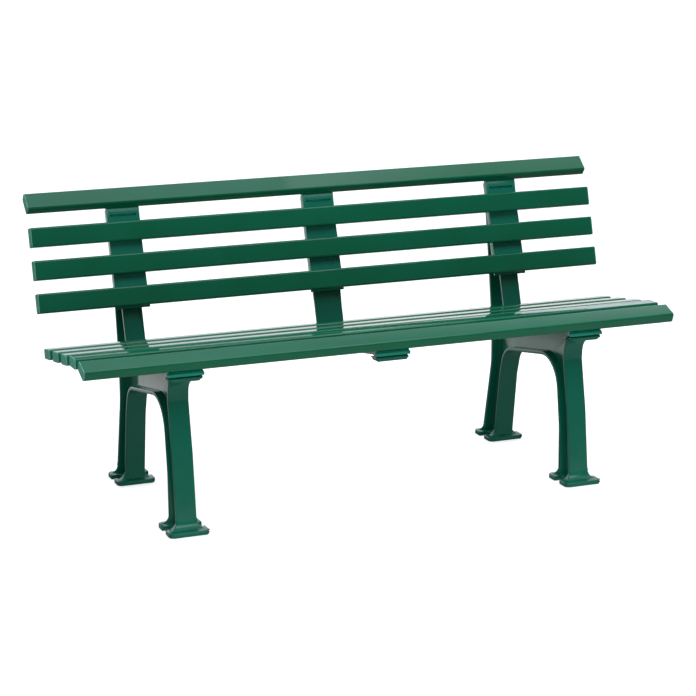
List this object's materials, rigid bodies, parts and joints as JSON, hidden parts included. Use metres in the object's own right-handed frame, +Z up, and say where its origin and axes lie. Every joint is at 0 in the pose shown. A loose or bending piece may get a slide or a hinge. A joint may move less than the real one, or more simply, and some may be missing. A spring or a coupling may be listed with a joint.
{
  "type": "garden bench",
  "caption": "Park bench with a slatted seat and reclined slatted back of hollow green plastic slats on moulded I-section leg frames, for two or three people to sit on outdoors",
  "frame": {"origin": "centre of the footprint, on the ground", "axes": "+X along the bench, to the right of a person looking at its front; +Y towards the back; +Z up; the seat is entered from -Y"},
  "size_m": [1.5, 0.5506, 0.7393],
  "materials": {
    "slat_profile": "gloss",
    "end_cap": "matte",
    "frame_moulding": "gloss",
    "carrier_moulding": "satin",
    "zinc_steel": "satin"
  },
  "bodies": {
    "root": {"seat_slat_1": "slat_profile", "seat_slat_2": "slat_profile", "seat_slat_3": "slat_profile", "seat_slat_4": "slat_profile", "seat_slat_5": "slat_profile", "back_slat_1": "slat_profile", "back_slat_2": "slat_profile", "back_slat_3": "slat_profile", "back_slat_4": "slat_profile", "seat_end_caps_left": "end_cap", "seat_end_caps_right": "end_cap", "back_end_caps_left": "end_cap", "back_end_caps_right": "end_cap", "leg_frame_left": "frame_moulding", "leg_frame_right": "frame_moulding", "middle_bracket": "frame_moulding", "seat_carrier_left": "carrier_moulding", "seat_carrier_middle": "carrier_moulding", "seat_carrier_right": "carrier_moulding", "back_carrier_left": "carrier_moulding", "back_carrier_middle": "carrier_moulding", "back_carrier_right": "carrier_moulding", "seat_slat_screws": "zinc_steel", "back_slat_screws": "zinc_steel", "carrier_bolts": "zinc_steel", "carrier_nuts": "zinc_steel"}
  },
  "joints": []
}
